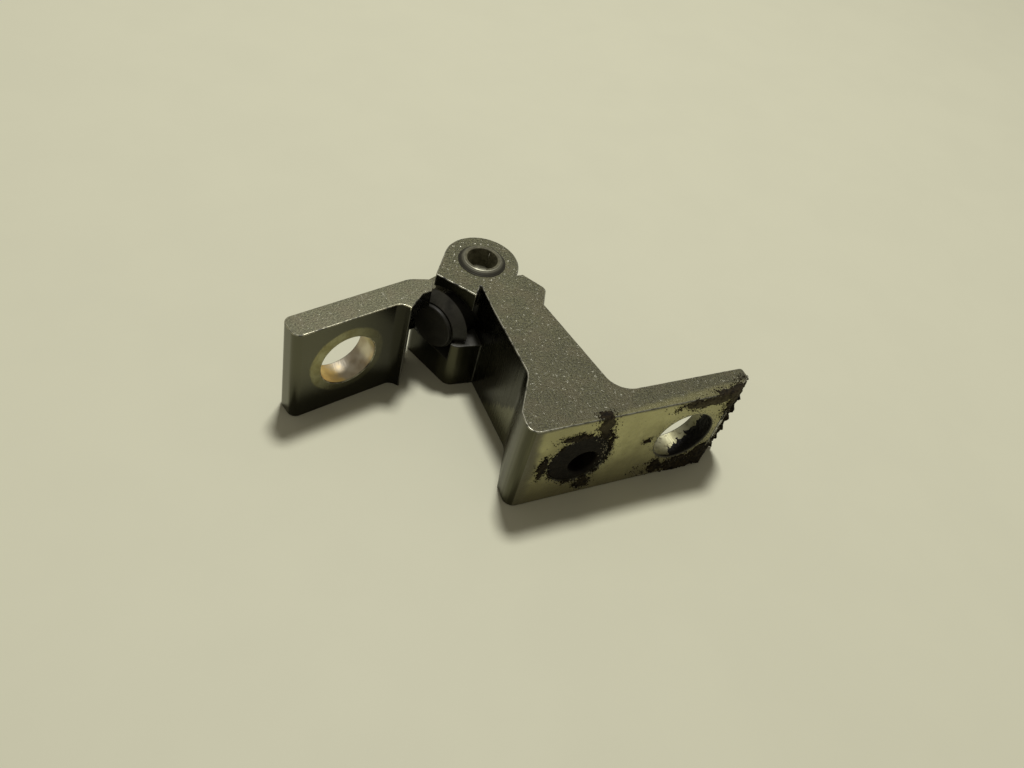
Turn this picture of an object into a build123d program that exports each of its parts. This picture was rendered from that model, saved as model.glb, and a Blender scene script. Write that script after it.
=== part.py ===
from build123d import *
import math
import os

# Car door hinge: a pillar bracket and a door leaf that turn on one upright pin.
# Units are millimetres. The pin axis is upright, +Z is up, the bracket's mounting
# face looks along -Y. The origin is on that face, at the axis of its clear bolt hole.

os.makedirs("parts", exist_ok=True)

# Height of the drawn profiles
height = 32.0

# Pillar bracket: plan of the profile, measured from the pin axis
knuckle_radius = 11.1
pin_to_face = 64.1
flange_thickness = 8.0
flange_right = 58.5
flange_left = 12.3
flange_corner = 3.0
end_slope_length = 7.0
end_slope_depth = 4.3
arm_left = 4.6
arm_right_top = 10.7
arm_right_foot = 17.4
arm_foot_fillet = 7.0
foot_flare = 7.2
foot_flare_height = 11.3
foot_fillet = 7.0
bump_reach = 14.7
bump_front = 14.6
bump_length = 7.0
bump_radius = 2.4
notch_reach = 10.2
notch_front = 7.5

# Pillar bracket: the two lugs and the stop
lug_corner_reach = 19.7
lug_corner_back = 0.3
lug_corner_radius = 3.0
lug_tip_reach = 13.0
lug_tip_front = 17.9
lug_front = 19.0
lug_tip_radius = 3.0
upper_lug_reach = 15.5
upper_lug_front = 3.0
upper_tip_reach = 7.1
upper_tip_front = 13.6
notch_apex_reach = 4.1
notch_apex_front = 9.5
lower_lug_height = 10.0
upper_lug_thickness = 6.3
slot_radius = 12.5
stop_top = 16.4
stop_play = 0.3

# Pillar bracket: bolt holes in the flange
bolt_hole_radius = 9.2
bolt_hole_across = 40.0
bolt_hole_height = 16.0
nut_hole_across = 6.0
nut_pocket_depth = 12.0
nut_recess = 0.3
thread_radius = 4.25
thread_offset_across = 2.2
thread_offset_down = 2.8
thread_relief_depth = 8.0
thread_relief_play = 0.6
thread_chamfer = 0.7

# Pin and bushes
pin_radius = 5.0
pin_head_radius = 6.5
pin_head_height = 2.0
rivet_foot_radius = 7.2
rivet_rim_radius = 5.5
rivet_height = 1.2
rivet_bore_radius = 4.6
rivet_bore_depth = 5.5
rivet_bore_taper = 1.2
bush_play = 0.03
bush_wall = 1.0
bush_flange_radius = 8.6
bush_flange_thickness = 1.0
bush_gap = 1.5
axial_play = 0.1

# Door leaf: plate, measured in its own directions, outward from the pin and forward
leaf_angle = 13.5
leaf_length = 63.2
leaf_front = 5.8
leaf_back = 2.05
leaf_corner = 2.5
leaf_end_out = 29.8
leaf_end_front = 8.5
leaf_end_in = 23.7
leaf_end_in_front = 4.8
leaf_tongue_reach = 20.8
leaf_heel = 24.0
leaf_heel_in = 17.7
leaf_heel_rise = 2.9
leaf_heel_radius = 8.0
leaf_bend_radius = 3.0
lower_clear_radius = 20.6
lug_clearance = 0.4
leaf_hole_radius = 8.45
leaf_hole_out = 46.5
leaf_hole_height = 16.3

# Door leaf: knuckle and neck
leaf_knuckle_radius = 11.0
neck_radius = 7.4
neck_angle = 15.5
neck_reach = 18.6
neck_root_reach = 15.8
neck_root_radius = 10.3
neck_root_play = 0.5
recess_radius = 8.3
recess_side = 21.4
recess_floor = 1.2
web_front = 4.5
web_back = 9.0
web_reach = 36.0
web_step = 0.4

# Stop buffer
buffer_radius = 6.9
buffer_thickness = 1.2
buffer_round = 0.5
stem_radius = 3.0
stem_length = 6.0


def turned(angle_deg, along, across):
    """Point at a distance along a direction and a distance to its left."""
    a = math.radians(angle_deg)
    return (
        along * math.cos(a) - across * math.sin(a),
        along * math.sin(a) + across * math.cos(a),
    )


def prism(points, bottom, top):
    """Upright prism over a polygon of plan points."""
    face = make_face(Polyline(*points, close=True))
    return Pos(0, 0, bottom) * extrude(face, amount=top - bottom)


def upright_cylinder(radius, bottom, top):
    """Cylinder on the pin axis between two heights."""
    return Pos(0, 0, bottom) * Cylinder(
        radius, top - bottom, align=(Align.CENTER, Align.CENTER, Align.MIN)
    )


def round_upright(solid, point, radius):
    """Round the upright edge that stands over a plan point."""
    near = []
    for edge in solid.edges():
        ends = edge.vertices()
        if len(ends) != 2:
            continue
        first = ends[0]
        last = ends[1]
        if math.hypot(first.X - point[0], first.Y - point[1]) > 0.4:
            continue
        if math.hypot(last.X - point[0], last.Y - point[1]) > 0.4:
            continue
        near.append(edge)
    return fillet(near, radius)


# Derived heights and directions
slot_bottom = lower_lug_height
slot_top = height - upper_lug_thickness
neck_height = (slot_bottom + slot_top) / 2
knuckle_bottom = slot_bottom + axial_play + bush_flange_thickness
knuckle_top = slot_top - axial_play - bush_flange_thickness
bush_length = (knuckle_top - knuckle_bottom - bush_gap) / 2
bush_radius = pin_radius + bush_play
bush_outer = bush_radius + bush_wall
leaf_turn = 180.0 + leaf_angle
neck_turn = leaf_turn + neck_angle
stop_distance = neck_radius + stop_play
shoulder_bottom = stop_top + lug_clearance
past_all = pin_to_face


def bracket_profile():
    """Plan of the drawn bar: foot flange, arm, bump and knuckle."""
    back = -pin_to_face + flange_thickness
    foot = prism(
        [
            (-flange_left, -pin_to_face),
            (flange_right - end_slope_length, -pin_to_face),
            (flange_right, -pin_to_face + end_slope_depth),
            (flange_right, back),
            (arm_right_foot, back),
            (arm_right_top, -lug_tip_front),
            (-arm_left, -lug_tip_front),
            (-arm_left, back + foot_flare_height),
            (-arm_left - foot_flare, back - 0.5),
            (-flange_left, back - 4.0),
        ],
        0,
        height,
    )
    foot = round_upright(foot, (arm_right_foot, back), arm_foot_fillet)
    foot = round_upright(foot, (-arm_left, back + foot_flare_height), foot_fillet)
    foot = round_upright(foot, (-flange_left, -pin_to_face), flange_corner)
    foot = round_upright(foot, (flange_right, back), 1.0)
    root_y = -bump_front - bump_length
    head = prism(
        [
            (-arm_left, root_y - 4.0),
            (arm_right_top + 0.6, root_y - 4.0),
            (arm_right_top, root_y),
            (bump_reach, -bump_front),
            (notch_reach, -notch_front),
            (0, -notch_front),
            (-arm_left, 0),
        ],
        0,
        height,
    )
    head = round_upright(head, (bump_reach, -bump_front), bump_radius)
    head = round_upright(head, (arm_right_top, root_y), 3.0)
    return foot + head + upright_cylinder(knuckle_radius, 0, height)


def lug_ear():
    """Ear on the left of the knuckle, the same height as the bar before trimming."""
    a = math.atan2(-lug_corner_back, lug_corner_reach)
    reach = math.hypot(lug_corner_back, lug_corner_reach)
    side = 180.0 + math.degrees(a) - math.degrees(math.acos(knuckle_radius / reach))
    tangent = turned(side, knuckle_radius, 0)
    corner = (-lug_corner_reach, lug_corner_back)
    ear = prism(
        [
            tangent,
            corner,
            (-lug_tip_reach, -lug_tip_front),
            (0, -lug_front),
            (0, 0),
        ],
        0,
        height,
    )
    ear = round_upright(ear, corner, lug_corner_radius)
    return round_upright(ear, (-lug_tip_reach, -lug_tip_front), lug_tip_radius)


def upper_trim():
    """Waste above the stop: leaves a slanted upper lug and the sharp notch beside it."""
    a = math.atan2(upper_lug_front, upper_lug_reach)
    reach = math.hypot(upper_lug_front, upper_lug_reach)
    side = 180.0 + math.degrees(a) - math.degrees(math.acos(knuckle_radius / reach))
    waste = prism(
        [
            turned(side, knuckle_radius, 0),
            (-upper_lug_reach, -upper_lug_front),
            (-upper_tip_reach, -upper_tip_front),
            (-notch_apex_reach, -notch_apex_front),
            (-arm_left, -lug_front - 3.0),
            (-past_all, -lug_front - 3.0),
            (-past_all, past_all),
            (0, past_all),
            (0, knuckle_radius - 1.0),
        ],
        stop_top,
        height,
    )
    return waste - upright_cylinder(knuckle_radius, 0, height)


def slot_waste():
    """Waste between the lugs: the middle knuckle's room and the neck's swing."""
    room = upright_cylinder(slot_radius, slot_bottom, slot_top)
    near = turned(neck_turn, 0, stop_distance)
    far = turned(neck_turn, past_all, stop_distance)
    swing = prism(
        [near, far, (-past_all, past_all), (0, past_all), (0, 0)], slot_bottom, slot_top
    )
    shelf = prism(
        [
            (-arm_left, -notch_apex_front),
            (-arm_left, -lug_front - 3.0),
            (-past_all, -lug_front - 3.0),
            (-past_all, 0),
            (-slot_radius, 0),
        ],
        stop_top,
        slot_top,
    )
    return room + swing + shelf


def flange_hole(across, depth, radius, down=0.0):
    """Level cylinder that enters the bracket's mounting face."""
    return (
        Pos(across, -pin_to_face, bolt_hole_height - down)
        * Rot(-90, 0, 0)
        * Cylinder(radius, depth, align=(Align.CENTER, Align.CENTER, Align.MIN))
    )


def make_pillar_bracket():
    """Drawn steel bar with a foot flange, two pin lugs and the stop between them."""
    bar = bracket_profile() + lug_ear()
    bar = bar - upper_trim() - slot_waste() - shoulder_room()
    bar = bar - upright_cylinder(pin_radius, 0, height)
    bar = bar - pin_head_waste()
    bar = bar - flange_hole(bolt_hole_across, flange_thickness + 2.0, bolt_hole_radius)
    bar = bar - flange_hole(nut_hole_across, nut_pocket_depth, bolt_hole_radius)
    relief = flange_hole(
        nut_hole_across + thread_offset_across,
        nut_pocket_depth + thread_relief_depth,
        thread_radius + thread_relief_play,
        thread_offset_down,
    )
    return bar - relief


def pin_head_waste():
    """Countersink under the lower lug, the shape of the pin's flush head."""
    return Cone(
        pin_head_radius,
        pin_radius,
        pin_head_height,
        align=(Align.CENTER, Align.CENTER, Align.MIN),
    )


def make_hinge_pin():
    """Steel pin with a flush lower head and a hollow riveted upper end."""
    shank = upright_cylinder(pin_radius, 0, height) + pin_head_waste()
    skirt = Pos(0, 0, height) * Cone(
        rivet_foot_radius,
        rivet_rim_radius,
        rivet_height,
        align=(Align.CENTER, Align.CENTER, Align.MIN),
    )
    bore = Pos(0, 0, height + rivet_height) * Cone(
        rivet_bore_radius - rivet_bore_taper,
        rivet_bore_radius,
        rivet_bore_depth,
        align=(Align.CENTER, Align.CENTER, Align.MAX),
    )
    return shank + skirt - bore


def make_nut_disc():
    """Round nut pressed into the flange, its thread off centre."""
    depth = nut_pocket_depth - nut_recess
    blank = (
        Pos(nut_hole_across, -pin_to_face + nut_recess, bolt_hole_height)
        * Rot(-90, 0, 0)
        * Cylinder(bolt_hole_radius, depth, align=(Align.CENTER, Align.CENTER, Align.MIN))
    )
    thread = flange_hole(
        nut_hole_across + thread_offset_across,
        nut_pocket_depth + 1.0,
        thread_radius,
        thread_offset_down,
    )
    mouth = (
        Pos(
            nut_hole_across + thread_offset_across,
            -pin_to_face + nut_recess,
            bolt_hole_height - thread_offset_down,
        )
        * Rot(-90, 0, 0)
        * Cone(
            thread_radius + thread_chamfer,
            thread_radius,
            thread_chamfer,
            align=(Align.CENTER, Align.CENTER, Align.MIN),
        )
    )
    return blank - thread - mouth


def leaf_bar(radius, start, end):
    """Level cylinder on the neck's axis, in the leaf's own directions."""
    x, y = turned(neck_angle, start, 0)
    return (
        Pos(x, y, neck_height)
        * Rot(0, 0, neck_angle)
        * Rot(0, 90, 0)
        * Cylinder(radius, end - start, align=(Align.CENTER, Align.CENTER, Align.MIN))
    )


def leaf_plate():
    """Full-height plate with a bent-forward end, in the leaf's own directions."""
    bend_out = leaf_end_out + 1.6
    plate = prism(
        [
            (leaf_length, -leaf_back),
            (leaf_length, leaf_front),
            (bend_out, leaf_front),
            (leaf_end_out, leaf_end_front),
            (leaf_end_in, leaf_end_in_front),
            (leaf_tongue_reach, leaf_end_in_front),
            (leaf_heel_in, leaf_heel_rise - leaf_back),
            (leaf_heel, -leaf_back),
        ],
        0,
        height,
    )
    plate = round_upright(plate, (leaf_length, -leaf_back), leaf_corner)
    plate = round_upright(plate, (leaf_length, leaf_front), leaf_corner)
    plate = round_upright(plate, (bend_out, leaf_front), leaf_bend_radius)
    plate = round_upright(plate, (leaf_heel, -leaf_back), leaf_heel_radius)
    return plate - upright_cylinder(lower_clear_radius, 0, slot_bottom + lug_clearance)


def neck_shoulder():
    """The neck's thick root above the stop, a cone that runs down to the buffer."""
    x, y = turned(neck_angle, neck_root_reach, 0)
    cone = (
        Pos(x, y, neck_height)
        * Rot(0, 0, neck_angle)
        * Rot(0, 90, 0)
        * Cone(
            neck_root_radius,
            neck_radius,
            neck_reach - neck_root_reach,
            align=(Align.CENTER, Align.CENTER, Align.MIN),
        )
    )
    return cone & Pos(0, 0, shoulder_bottom) * Box(
        past_all, past_all, height, align=(Align.CENTER, Align.CENTER, Align.MIN)
    )


def shoulder_room():
    """Arch under the upper lug that the neck's thick root turns into."""
    room = leaf_bar(neck_root_radius + neck_root_play, slot_radius - 1.5, past_all)
    room = room & Pos(0, 0, slot_top - 0.5) * Box(
        2 * past_all, 2 * past_all, height, align=(Align.CENTER, Align.CENTER, Align.MIN)
    )
    return Rot(0, 0, leaf_turn) * room


def end_recess():
    """Arched room for the buffer in the plate's end, flat beside the end's corner."""
    beyond = turned(neck_angle, neck_reach, 0)
    side = prism(
        [
            (leaf_end_out, leaf_end_front),
            (recess_side, -recess_floor),
            (0, -recess_floor),
            (0, past_all),
            (leaf_end_out, past_all),
        ],
        -1.0,
        height,
    )
    below = (
        Pos(beyond[0], beyond[1], neck_height)
        * Rot(0, 0, neck_angle)
        * Box(past_all, past_all, 2 * height, align=(Align.MIN, Align.CENTER, Align.MAX))
    )
    arch = leaf_bar(recess_radius, neck_reach, neck_reach + past_all)
    return side & (below + arch)


def make_door_leaf():
    """Door leaf: plate, bolt hole, neck and middle knuckle."""
    web = prism(
        [
            (0, web_front),
            (neck_reach, web_front),
            (web_reach, -leaf_back + 1.0),
            (web_reach, -leaf_back),
            (0, -web_back),
        ],
        knuckle_bottom + web_step,
        knuckle_top - web_step,
    )
    leaf = (leaf_plate() + web) - end_recess()
    leaf = leaf + leaf_bar(neck_radius, 0, neck_reach) + neck_shoulder()
    leaf = leaf + upright_cylinder(leaf_knuckle_radius, knuckle_bottom, knuckle_top)
    leaf = leaf - upright_cylinder(bush_outer, 0, height)
    leaf = leaf - upright_cylinder(bush_flange_radius, 0, knuckle_bottom)
    leaf = leaf - upright_cylinder(bush_flange_radius, knuckle_top, height)
    leaf = leaf - leaf_bar(stem_radius, neck_reach - stem_length, neck_reach)
    hole = (
        Pos(leaf_hole_out, -leaf_back - 1.0, leaf_hole_height)
        * Rot(-90, 0, 0)
        * Cylinder(leaf_hole_radius, past_all, align=(Align.CENTER, Align.CENTER, Align.MIN))
    )
    leaf = leaf - hole
    return Rot(0, 0, leaf_turn) * leaf


def make_bush(flange_bottom, sleeve_bottom):
    """Flanged bush that lines one end of the leaf's knuckle."""
    flange = upright_cylinder(
        bush_flange_radius, flange_bottom, flange_bottom + bush_flange_thickness
    )
    sleeve = upright_cylinder(bush_outer, sleeve_bottom, sleeve_bottom + bush_length)
    bore = upright_cylinder(bush_radius, 0, height)
    return flange + sleeve - bore


def make_stop_buffer():
    """Round buffer with a stem that plugs the end of the neck."""
    disc = leaf_bar(buffer_radius, neck_reach, neck_reach + buffer_thickness)
    rim = disc.edges().filter_by(GeomType.CIRCLE)
    far = turned(neck_angle, neck_reach + buffer_thickness, 0)
    outer = []
    for edge in rim:
        centre = edge.arc_center
        if math.hypot(centre.X - far[0], centre.Y - far[1]) < 0.1:
            outer.append(edge)
    disc = fillet(outer, buffer_round)
    stem = leaf_bar(stem_radius, neck_reach - stem_length, neck_reach)
    return Rot(0, 0, leaf_turn) * (disc + stem)


parts = {
    "pillar_bracket": make_pillar_bracket(),
    "hinge_pin": make_hinge_pin(),
    "nut_disc": make_nut_disc(),
    "door_leaf": make_door_leaf(),
    "upper_bush": make_bush(knuckle_top, knuckle_top - bush_length),
    "lower_bush": make_bush(slot_bottom + axial_play, knuckle_bottom),
    "stop_buffer": make_stop_buffer(),
}

to_origin = Pos(-bolt_hole_across, pin_to_face, -bolt_hole_height)

for name, shape in parts.items():
    placed = to_origin * shape
    export_step(placed, f"parts/{name}.step")
    box = placed.bounding_box()
    print(name, placed.is_valid, round(placed.volume), len(placed.solids()), box.min, box.max)
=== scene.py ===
# %% [markdown]
# # A car door hinge, seen from its mounting side
#
# The hinge joins a door to its pillar. A drawn steel bar is sawn into slices to
# make the pillar bracket, and a second bar makes the door leaf. One riveted pin
# holds the two together. This script starts from the hinge's exact model and adds
# what the eye sees: broken edges, worn paint, bare washer marks and old sealant.

# %% Start from the exact model
import bmesh
import bpy
import math
import random
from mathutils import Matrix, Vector, noise


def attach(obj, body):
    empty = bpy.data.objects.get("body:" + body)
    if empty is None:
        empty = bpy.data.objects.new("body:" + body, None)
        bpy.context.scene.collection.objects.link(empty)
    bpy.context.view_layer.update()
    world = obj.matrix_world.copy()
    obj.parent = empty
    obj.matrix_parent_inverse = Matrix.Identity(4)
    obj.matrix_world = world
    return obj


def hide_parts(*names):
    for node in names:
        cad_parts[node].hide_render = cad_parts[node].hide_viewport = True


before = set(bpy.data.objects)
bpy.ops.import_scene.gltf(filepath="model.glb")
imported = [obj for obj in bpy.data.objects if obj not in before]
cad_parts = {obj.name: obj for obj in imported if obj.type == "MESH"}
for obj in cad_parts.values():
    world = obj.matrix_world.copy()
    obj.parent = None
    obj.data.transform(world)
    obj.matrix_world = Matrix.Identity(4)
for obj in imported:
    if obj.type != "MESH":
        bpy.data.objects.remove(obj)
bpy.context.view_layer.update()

MM = 0.001


# %% [markdown]
# ## Where things are
#
# The bracket's mounting face lies in the plane y = 0 and looks towards -Y. The pin
# stands upright, and the leaf hangs off it towards -X. Most of the later steps need
# the leaf's own directions: along the plate, away from the pin, and out of its front.
# They could be typed in as three numbers each. Worked out from one angle, they stay
# square to each other, and one helper turns them into places.

# %% Main places and directions
HALF_HEIGHT = 16.0
TOP = HALF_HEIGHT * MM
BOTTOM = -HALF_HEIGHT * MM
UPRIGHT = Vector((0.0, 0.0, 1.0))
PIN = Vector((-40.0, 64.1, 0.0)) * MM
LEAF_ANGLE = math.radians(193.5)
LEAF_ALONG = Vector((math.cos(LEAF_ANGLE), math.sin(LEAF_ANGLE), 0.0))
LEAF_OUT = Vector((-math.sin(LEAF_ANGLE), math.cos(LEAF_ANGLE), 0.0))


def leaf_point(along, out, height):
    """Place in metres from millimetres in the leaf's own directions."""
    place = PIN + LEAF_ALONG * (along * MM) + LEAF_OUT * (out * MM)
    place.z = height * MM
    return place


LEAF_HOLE = leaf_point(46.5, 0.0, 0.3)
print("leaf hole in mm:", [round(v / MM, 1) for v in LEAF_HOLE])

# %% [markdown]
# ## Small tools for the finishes
#
# A finish could be a picture laid over the piece, but a picture needs the surface
# unrolled first and blurs from close by. Here each finish is a little network: noise
# in the piece's own coordinates drives the colour, the gloss and the fine relief. A
# few helpers keep the recipes short. The first ones start a finish and give it noise.


# %% A new finish and its noise
def new_finish(name):
    """A material, its node tree, its surface shader and the piece's own coordinates."""
    finish = bpy.data.materials.new(name)
    finish.use_nodes = True
    tree = finish.node_tree
    shader = tree.nodes["Principled BSDF"]
    coords = tree.nodes.new("ShaderNodeTexCoord")
    print("new finish:", name)
    return finish, tree, shader, coords


def grain(tree, coords, sizes, detail=4.0, rough=0.55):
    """Noise whose main lumps have the given size in mm, or one size for each axis."""
    if isinstance(sizes, float):
        sizes = (sizes, sizes, sizes)
    mapping = tree.nodes.new("ShaderNodeMapping")
    mapping.inputs["Scale"].default_value = [1.0 / (s * MM) for s in sizes]
    tree.links.new(coords.outputs["Object"], mapping.inputs["Vector"])
    node = tree.nodes.new("ShaderNodeTexNoise")
    node.inputs["Scale"].default_value = 1.0
    node.inputs["Detail"].default_value = detail
    node.inputs["Roughness"].default_value = rough
    tree.links.new(mapping.outputs["Vector"], node.inputs["Vector"])
    return node.outputs["Fac"]


# %% [markdown]
# Noise alone is a soft grey cloud. Steps turn it into patches with firmer borders,
# and sums put one pattern on top of another or shift a border by it.


# %% Steps and sums
def steps(tree, value, low, high, to_low=0.0, to_high=1.0):
    """A value moved smoothly from one range to another, and held at its ends."""
    node = tree.nodes.new("ShaderNodeMapRange")
    node.interpolation_type = "SMOOTHSTEP"
    node.inputs["From Min"].default_value = low
    node.inputs["From Max"].default_value = high
    node.inputs["To Min"].default_value = to_low
    node.inputs["To Max"].default_value = to_high
    tree.links.new(value, node.inputs["Value"])
    return node.outputs["Result"]


def sums(tree, kind, a, b):
    """One arithmetic step on two values, either of which may be a plain number."""
    node = tree.nodes.new("ShaderNodeMath")
    node.operation = kind
    for socket, value in zip(node.inputs, (a, b)):
        if isinstance(value, (int, float)):
            socket.default_value = value
        else:
            tree.links.new(value, socket)
    return node.outputs["Value"]


def rest_of(tree, value):
    """1 where a value is 0, and 0 where it is 1."""
    return sums(tree, "SUBTRACT", 1.0, value)


def sway(tree, value, reach):
    """Noise turned into a shift to either side, in metres from a reach in mm."""
    return sums(tree, "MULTIPLY", sums(tree, "SUBTRACT", value, 0.5), reach * MM)


# %% [markdown]
# Two colours or two values are mixed by an amount between 0 and 1. The result feeds
# a socket of the shader, and a later layer can pick up what already feeds it.


# %% Mixing colours and values
def blend(tree, amount, a, b):
    """Two colours mixed by an amount; a colour may be a triple or another mix."""
    node = tree.nodes.new("ShaderNodeMix")
    node.data_type = "RGBA"
    tree.links.new(amount, node.inputs["Factor"])
    for name, value in (("A", a), ("B", b)):
        socket = [s for s in node.inputs if s.name == name and s.type == "RGBA"][0]
        if isinstance(value, tuple):
            socket.default_value = (*value, 1.0)
        else:
            tree.links.new(value, socket)
    return [s for s in node.outputs if s.type == "RGBA"][0]


def between(tree, amount, a, b):
    """A value mixed from two; each may be a plain number or another value."""
    node = tree.nodes.new("ShaderNodeMix")
    tree.links.new(amount, node.inputs["Factor"])
    for name, value in (("A", a), ("B", b)):
        if isinstance(value, (int, float)):
            node.inputs[name].default_value = value
        else:
            tree.links.new(value, node.inputs[name])
    return node.outputs["Result"]


# %% Feeding the shader
def feed(shader, name, value):
    """Let a value drive one of the shader's sockets."""
    shader.id_data.links.new(value, shader.inputs[name])


def fed_by(shader, name):
    """What drives one of the shader's sockets so far."""
    return shader.inputs[name].links[0].from_socket


def relief(tree, height, depth, strength, under=None):
    """Fine relief: heights from 0 to 1 stand for a depth in mm."""
    node = tree.nodes.new("ShaderNodeBump")
    node.inputs["Distance"].default_value = depth * MM
    node.inputs["Strength"].default_value = strength
    tree.links.new(height, node.inputs["Height"])
    if under is not None:
        tree.links.new(under, node.inputs["Normal"])
    return node.outputs["Normal"]


# %% [markdown]
# Wear and dirt sit at certain places, so a finish has to know where a point of the
# piece lies and which way it looks. These helpers ask for both. The answers come in
# the piece's own coordinates, so the marks stay put when the hinge swings.


# %% Which way a point looks
def part_of(tree, vector, axis):
    """One of a vector's three parts."""
    split = tree.nodes.new("ShaderNodeSeparateXYZ")
    tree.links.new(vector, split.inputs["Vector"])
    return split.outputs[axis]


def flat_faces(tree, coords):
    """1 where the surface faces straight up or down, 0 on the upright sides."""
    slope = part_of(tree, coords.outputs["Normal"], "Z")
    return steps(tree, sums(tree, "ABSOLUTE", slope, 0.0), 0.55, 0.9)


def facing_up(tree, coords):
    """0 on upright and lower sides, growing to 1 where the surface looks up."""
    return steps(tree, part_of(tree, coords.outputs["Normal"], "Z"), 0.1, 0.95)


# %% Where a point lies
def place_on(tree, coords, axis):
    """Where a point of the piece lies on one axis, in metres."""
    return part_of(tree, coords.outputs["Object"], axis)


def vector_step(tree, kind, a, b=None):
    """One arithmetic step on a vector, alone or with a fixed one."""
    node = tree.nodes.new("ShaderNodeVectorMath")
    node.operation = kind
    tree.links.new(a, node.inputs[0])
    if b is not None:
        node.inputs[1].default_value = b
    return node.outputs


def from_line(tree, coords, centre, axis):
    """Distance of a point of the piece from a line through a centre, in metres."""
    offset = vector_step(tree, "SUBTRACT", coords.outputs["Object"], centre)["Vector"]
    across = vector_step(tree, "CROSS_PRODUCT", offset, axis)["Vector"]
    return vector_step(tree, "LENGTH", across)["Value"]


def towards(tree, coords, centre, direction):
    """How far a point of the piece lies from a centre along a direction, in metres."""
    offset = vector_step(tree, "SUBTRACT", coords.outputs["Object"], centre)["Vector"]
    return vector_step(tree, "DOT_PRODUCT", offset, direction)["Value"]


# %% [markdown]
# The colours that come back in several finishes have names. All of them lean to
# olive, because the paint, the primer and the dust on them do.

# %% Colours of paint, primer and dirt
LEAF_GREY = (0.122, 0.120, 0.082)
ARM_GREY = (0.096, 0.094, 0.058)
PRIMER_LIGHT = (0.56, 0.54, 0.245)
PRIMER_DARK = (0.34, 0.32, 0.13)
DIRT = (0.10, 0.088, 0.038)
GREY_DUST = (0.10, 0.09, 0.05)
BLACK_DIRT = (0.012, 0.010, 0.006)
# PAINTED_GLINT is the colour of glints painted onto the blasted tops.
PAINTED_GLINT = (0.36, 0.355, 0.27)


def shade(colour, times):
    """The same colour, lighter or darker."""
    return tuple(times * part for part in colour)


# %% [markdown]
# ## Painted steel
#
# Both bars were dipped in a thin grey-olive paint after they were sawn and
# shot-blasted. The sawn faces, top and bottom, carry a fine peened grain that
# glints. The drawn sides are smoother and show long upright lines from the die.
# Two finishes could be given out face by face, with a hard border between them. One
# recipe that tells the faces apart by where they look serves both bars and lets the
# border run softly round the edge.


# %% Sawn tops and drawn sides
def blasted_top(tree, coords, paint, peen):
    """Colour and gloss of the sawn and blasted faces: clouds, painted shade in the pits, painted
    highlights on the crests and painted glints.
    """
    warm = (paint[0], paint[1], 0.83 * paint[2])
    clouds = grain(tree, coords, 12.0, 4.0, 0.55)
    colour = blend(tree, steps(tree, clouds, 0.3, 0.7), shade(warm, 0.85), shade(warm, 1.12))
    # The peen's pits are painted darker as painted shade, and its crests lighter as painted
    # highlights.
    colour = blend(tree, steps(tree, peen, 0.3, 0.54, 0.75, 0.0), colour, shade(warm, 0.28))
    colour = blend(tree, steps(tree, peen, 0.52, 0.68, 0.0, 0.6), colour, shade(warm, 2.3))
    tinge = steps(tree, grain(tree, coords, 6.0, 3.0), 0.45, 0.65, 0.0, 0.28)
    colour = blend(tree, tinge, colour, (1.2 * paint[0], 0.98 * paint[1], 0.9 * paint[2]))
    # Bright specks are painted glints: highlights laid into the colour, with a lower roughness.
    glint = steps(tree, grain(tree, coords, 1.05, 4.0, 0.68), 0.6, 0.67)
    colour = blend(tree, sums(tree, "MULTIPLY", glint, 0.75), colour, PAINTED_GLINT)
    rough = sums(tree, "SUBTRACT", steps(tree, peen, 0.35, 0.7, 0.36, 0.52), glint)
    return colour, sums(tree, "MAXIMUM", rough, 0.24)


def drawn_side(tree, coords, paint, lines, drawn):
    """Colour of the upright faces: fine lines and a few broad bands from the die."""
    dim = shade(paint, 0.86 - 0.06 * drawn)
    lit = shade(paint, 0.89 + 0.26 * drawn)
    bands = grain(tree, coords, (3.2, 3.2, 70.0), 2.0, 0.5)
    colour = blend(tree, steps(tree, lines, 0.3, 0.7), dim, lit)
    return blend(tree, steps(tree, bands, 0.45, 0.7, 0.0, 0.5 * drawn), colour, shade(paint, 0.55))


# %% Painted steel finish
def painted_steel(name, paint, peen_size, peen_depth, drawn, gloss):
    """Paint over sawn and blasted ends and over glossy, drawn, upright sides."""
    finish, tree, shader, coords = new_finish(name)
    flat = flat_faces(tree, coords)
    peen = grain(tree, coords, peen_size, 3.0, 0.6)
    lines = grain(tree, coords, (0.5, 0.5, 24.0), 4.0, 0.6)
    top, rough_top = blasted_top(tree, coords, paint, peen)
    side = drawn_side(tree, coords, paint, lines, drawn)
    rough_side = steps(tree, lines, 0.3, 0.7, gloss, gloss + 0.06 + 0.06 * drawn)
    feed(shader, "Base Color", blend(tree, flat, side, top))
    feed(shader, "Roughness", between(tree, flat, rough_side, rough_top))
    feed(shader, "Metallic", between(tree, flat, 0.9, 0.2))
    shader.inputs["Specular IOR Level"].default_value = 0.3
    peened = relief(tree, sums(tree, "MULTIPLY", peen, flat), peen_depth, 1.0)
    ribs = sums(tree, "MULTIPLY", lines, rest_of(tree, flat))
    feed(shader, "Normal", relief(tree, ribs, 0.004 + 0.03 * drawn, 0.7, peened))
    return finish, tree, shader, coords


leaf_paint = painted_steel(
    "leaf_paint", LEAF_GREY, peen_size=0.42, peen_depth=0.12, drawn=0.2, gloss=0.16
)[0]

# %% [markdown]
# ## Worn edges
#
# Handling rubs the paint thin where two faces meet, so a narrow strip of each edge
# is lighter and shinier, with gaps where the paint held. It shows mostly along the
# top. A shader can guess where edges are, but it is slow and the exported model
# loses it. Here the strip is real geometry, a broken edge under half a millimetre
# wide, and this finish goes on the strip alone.


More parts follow.
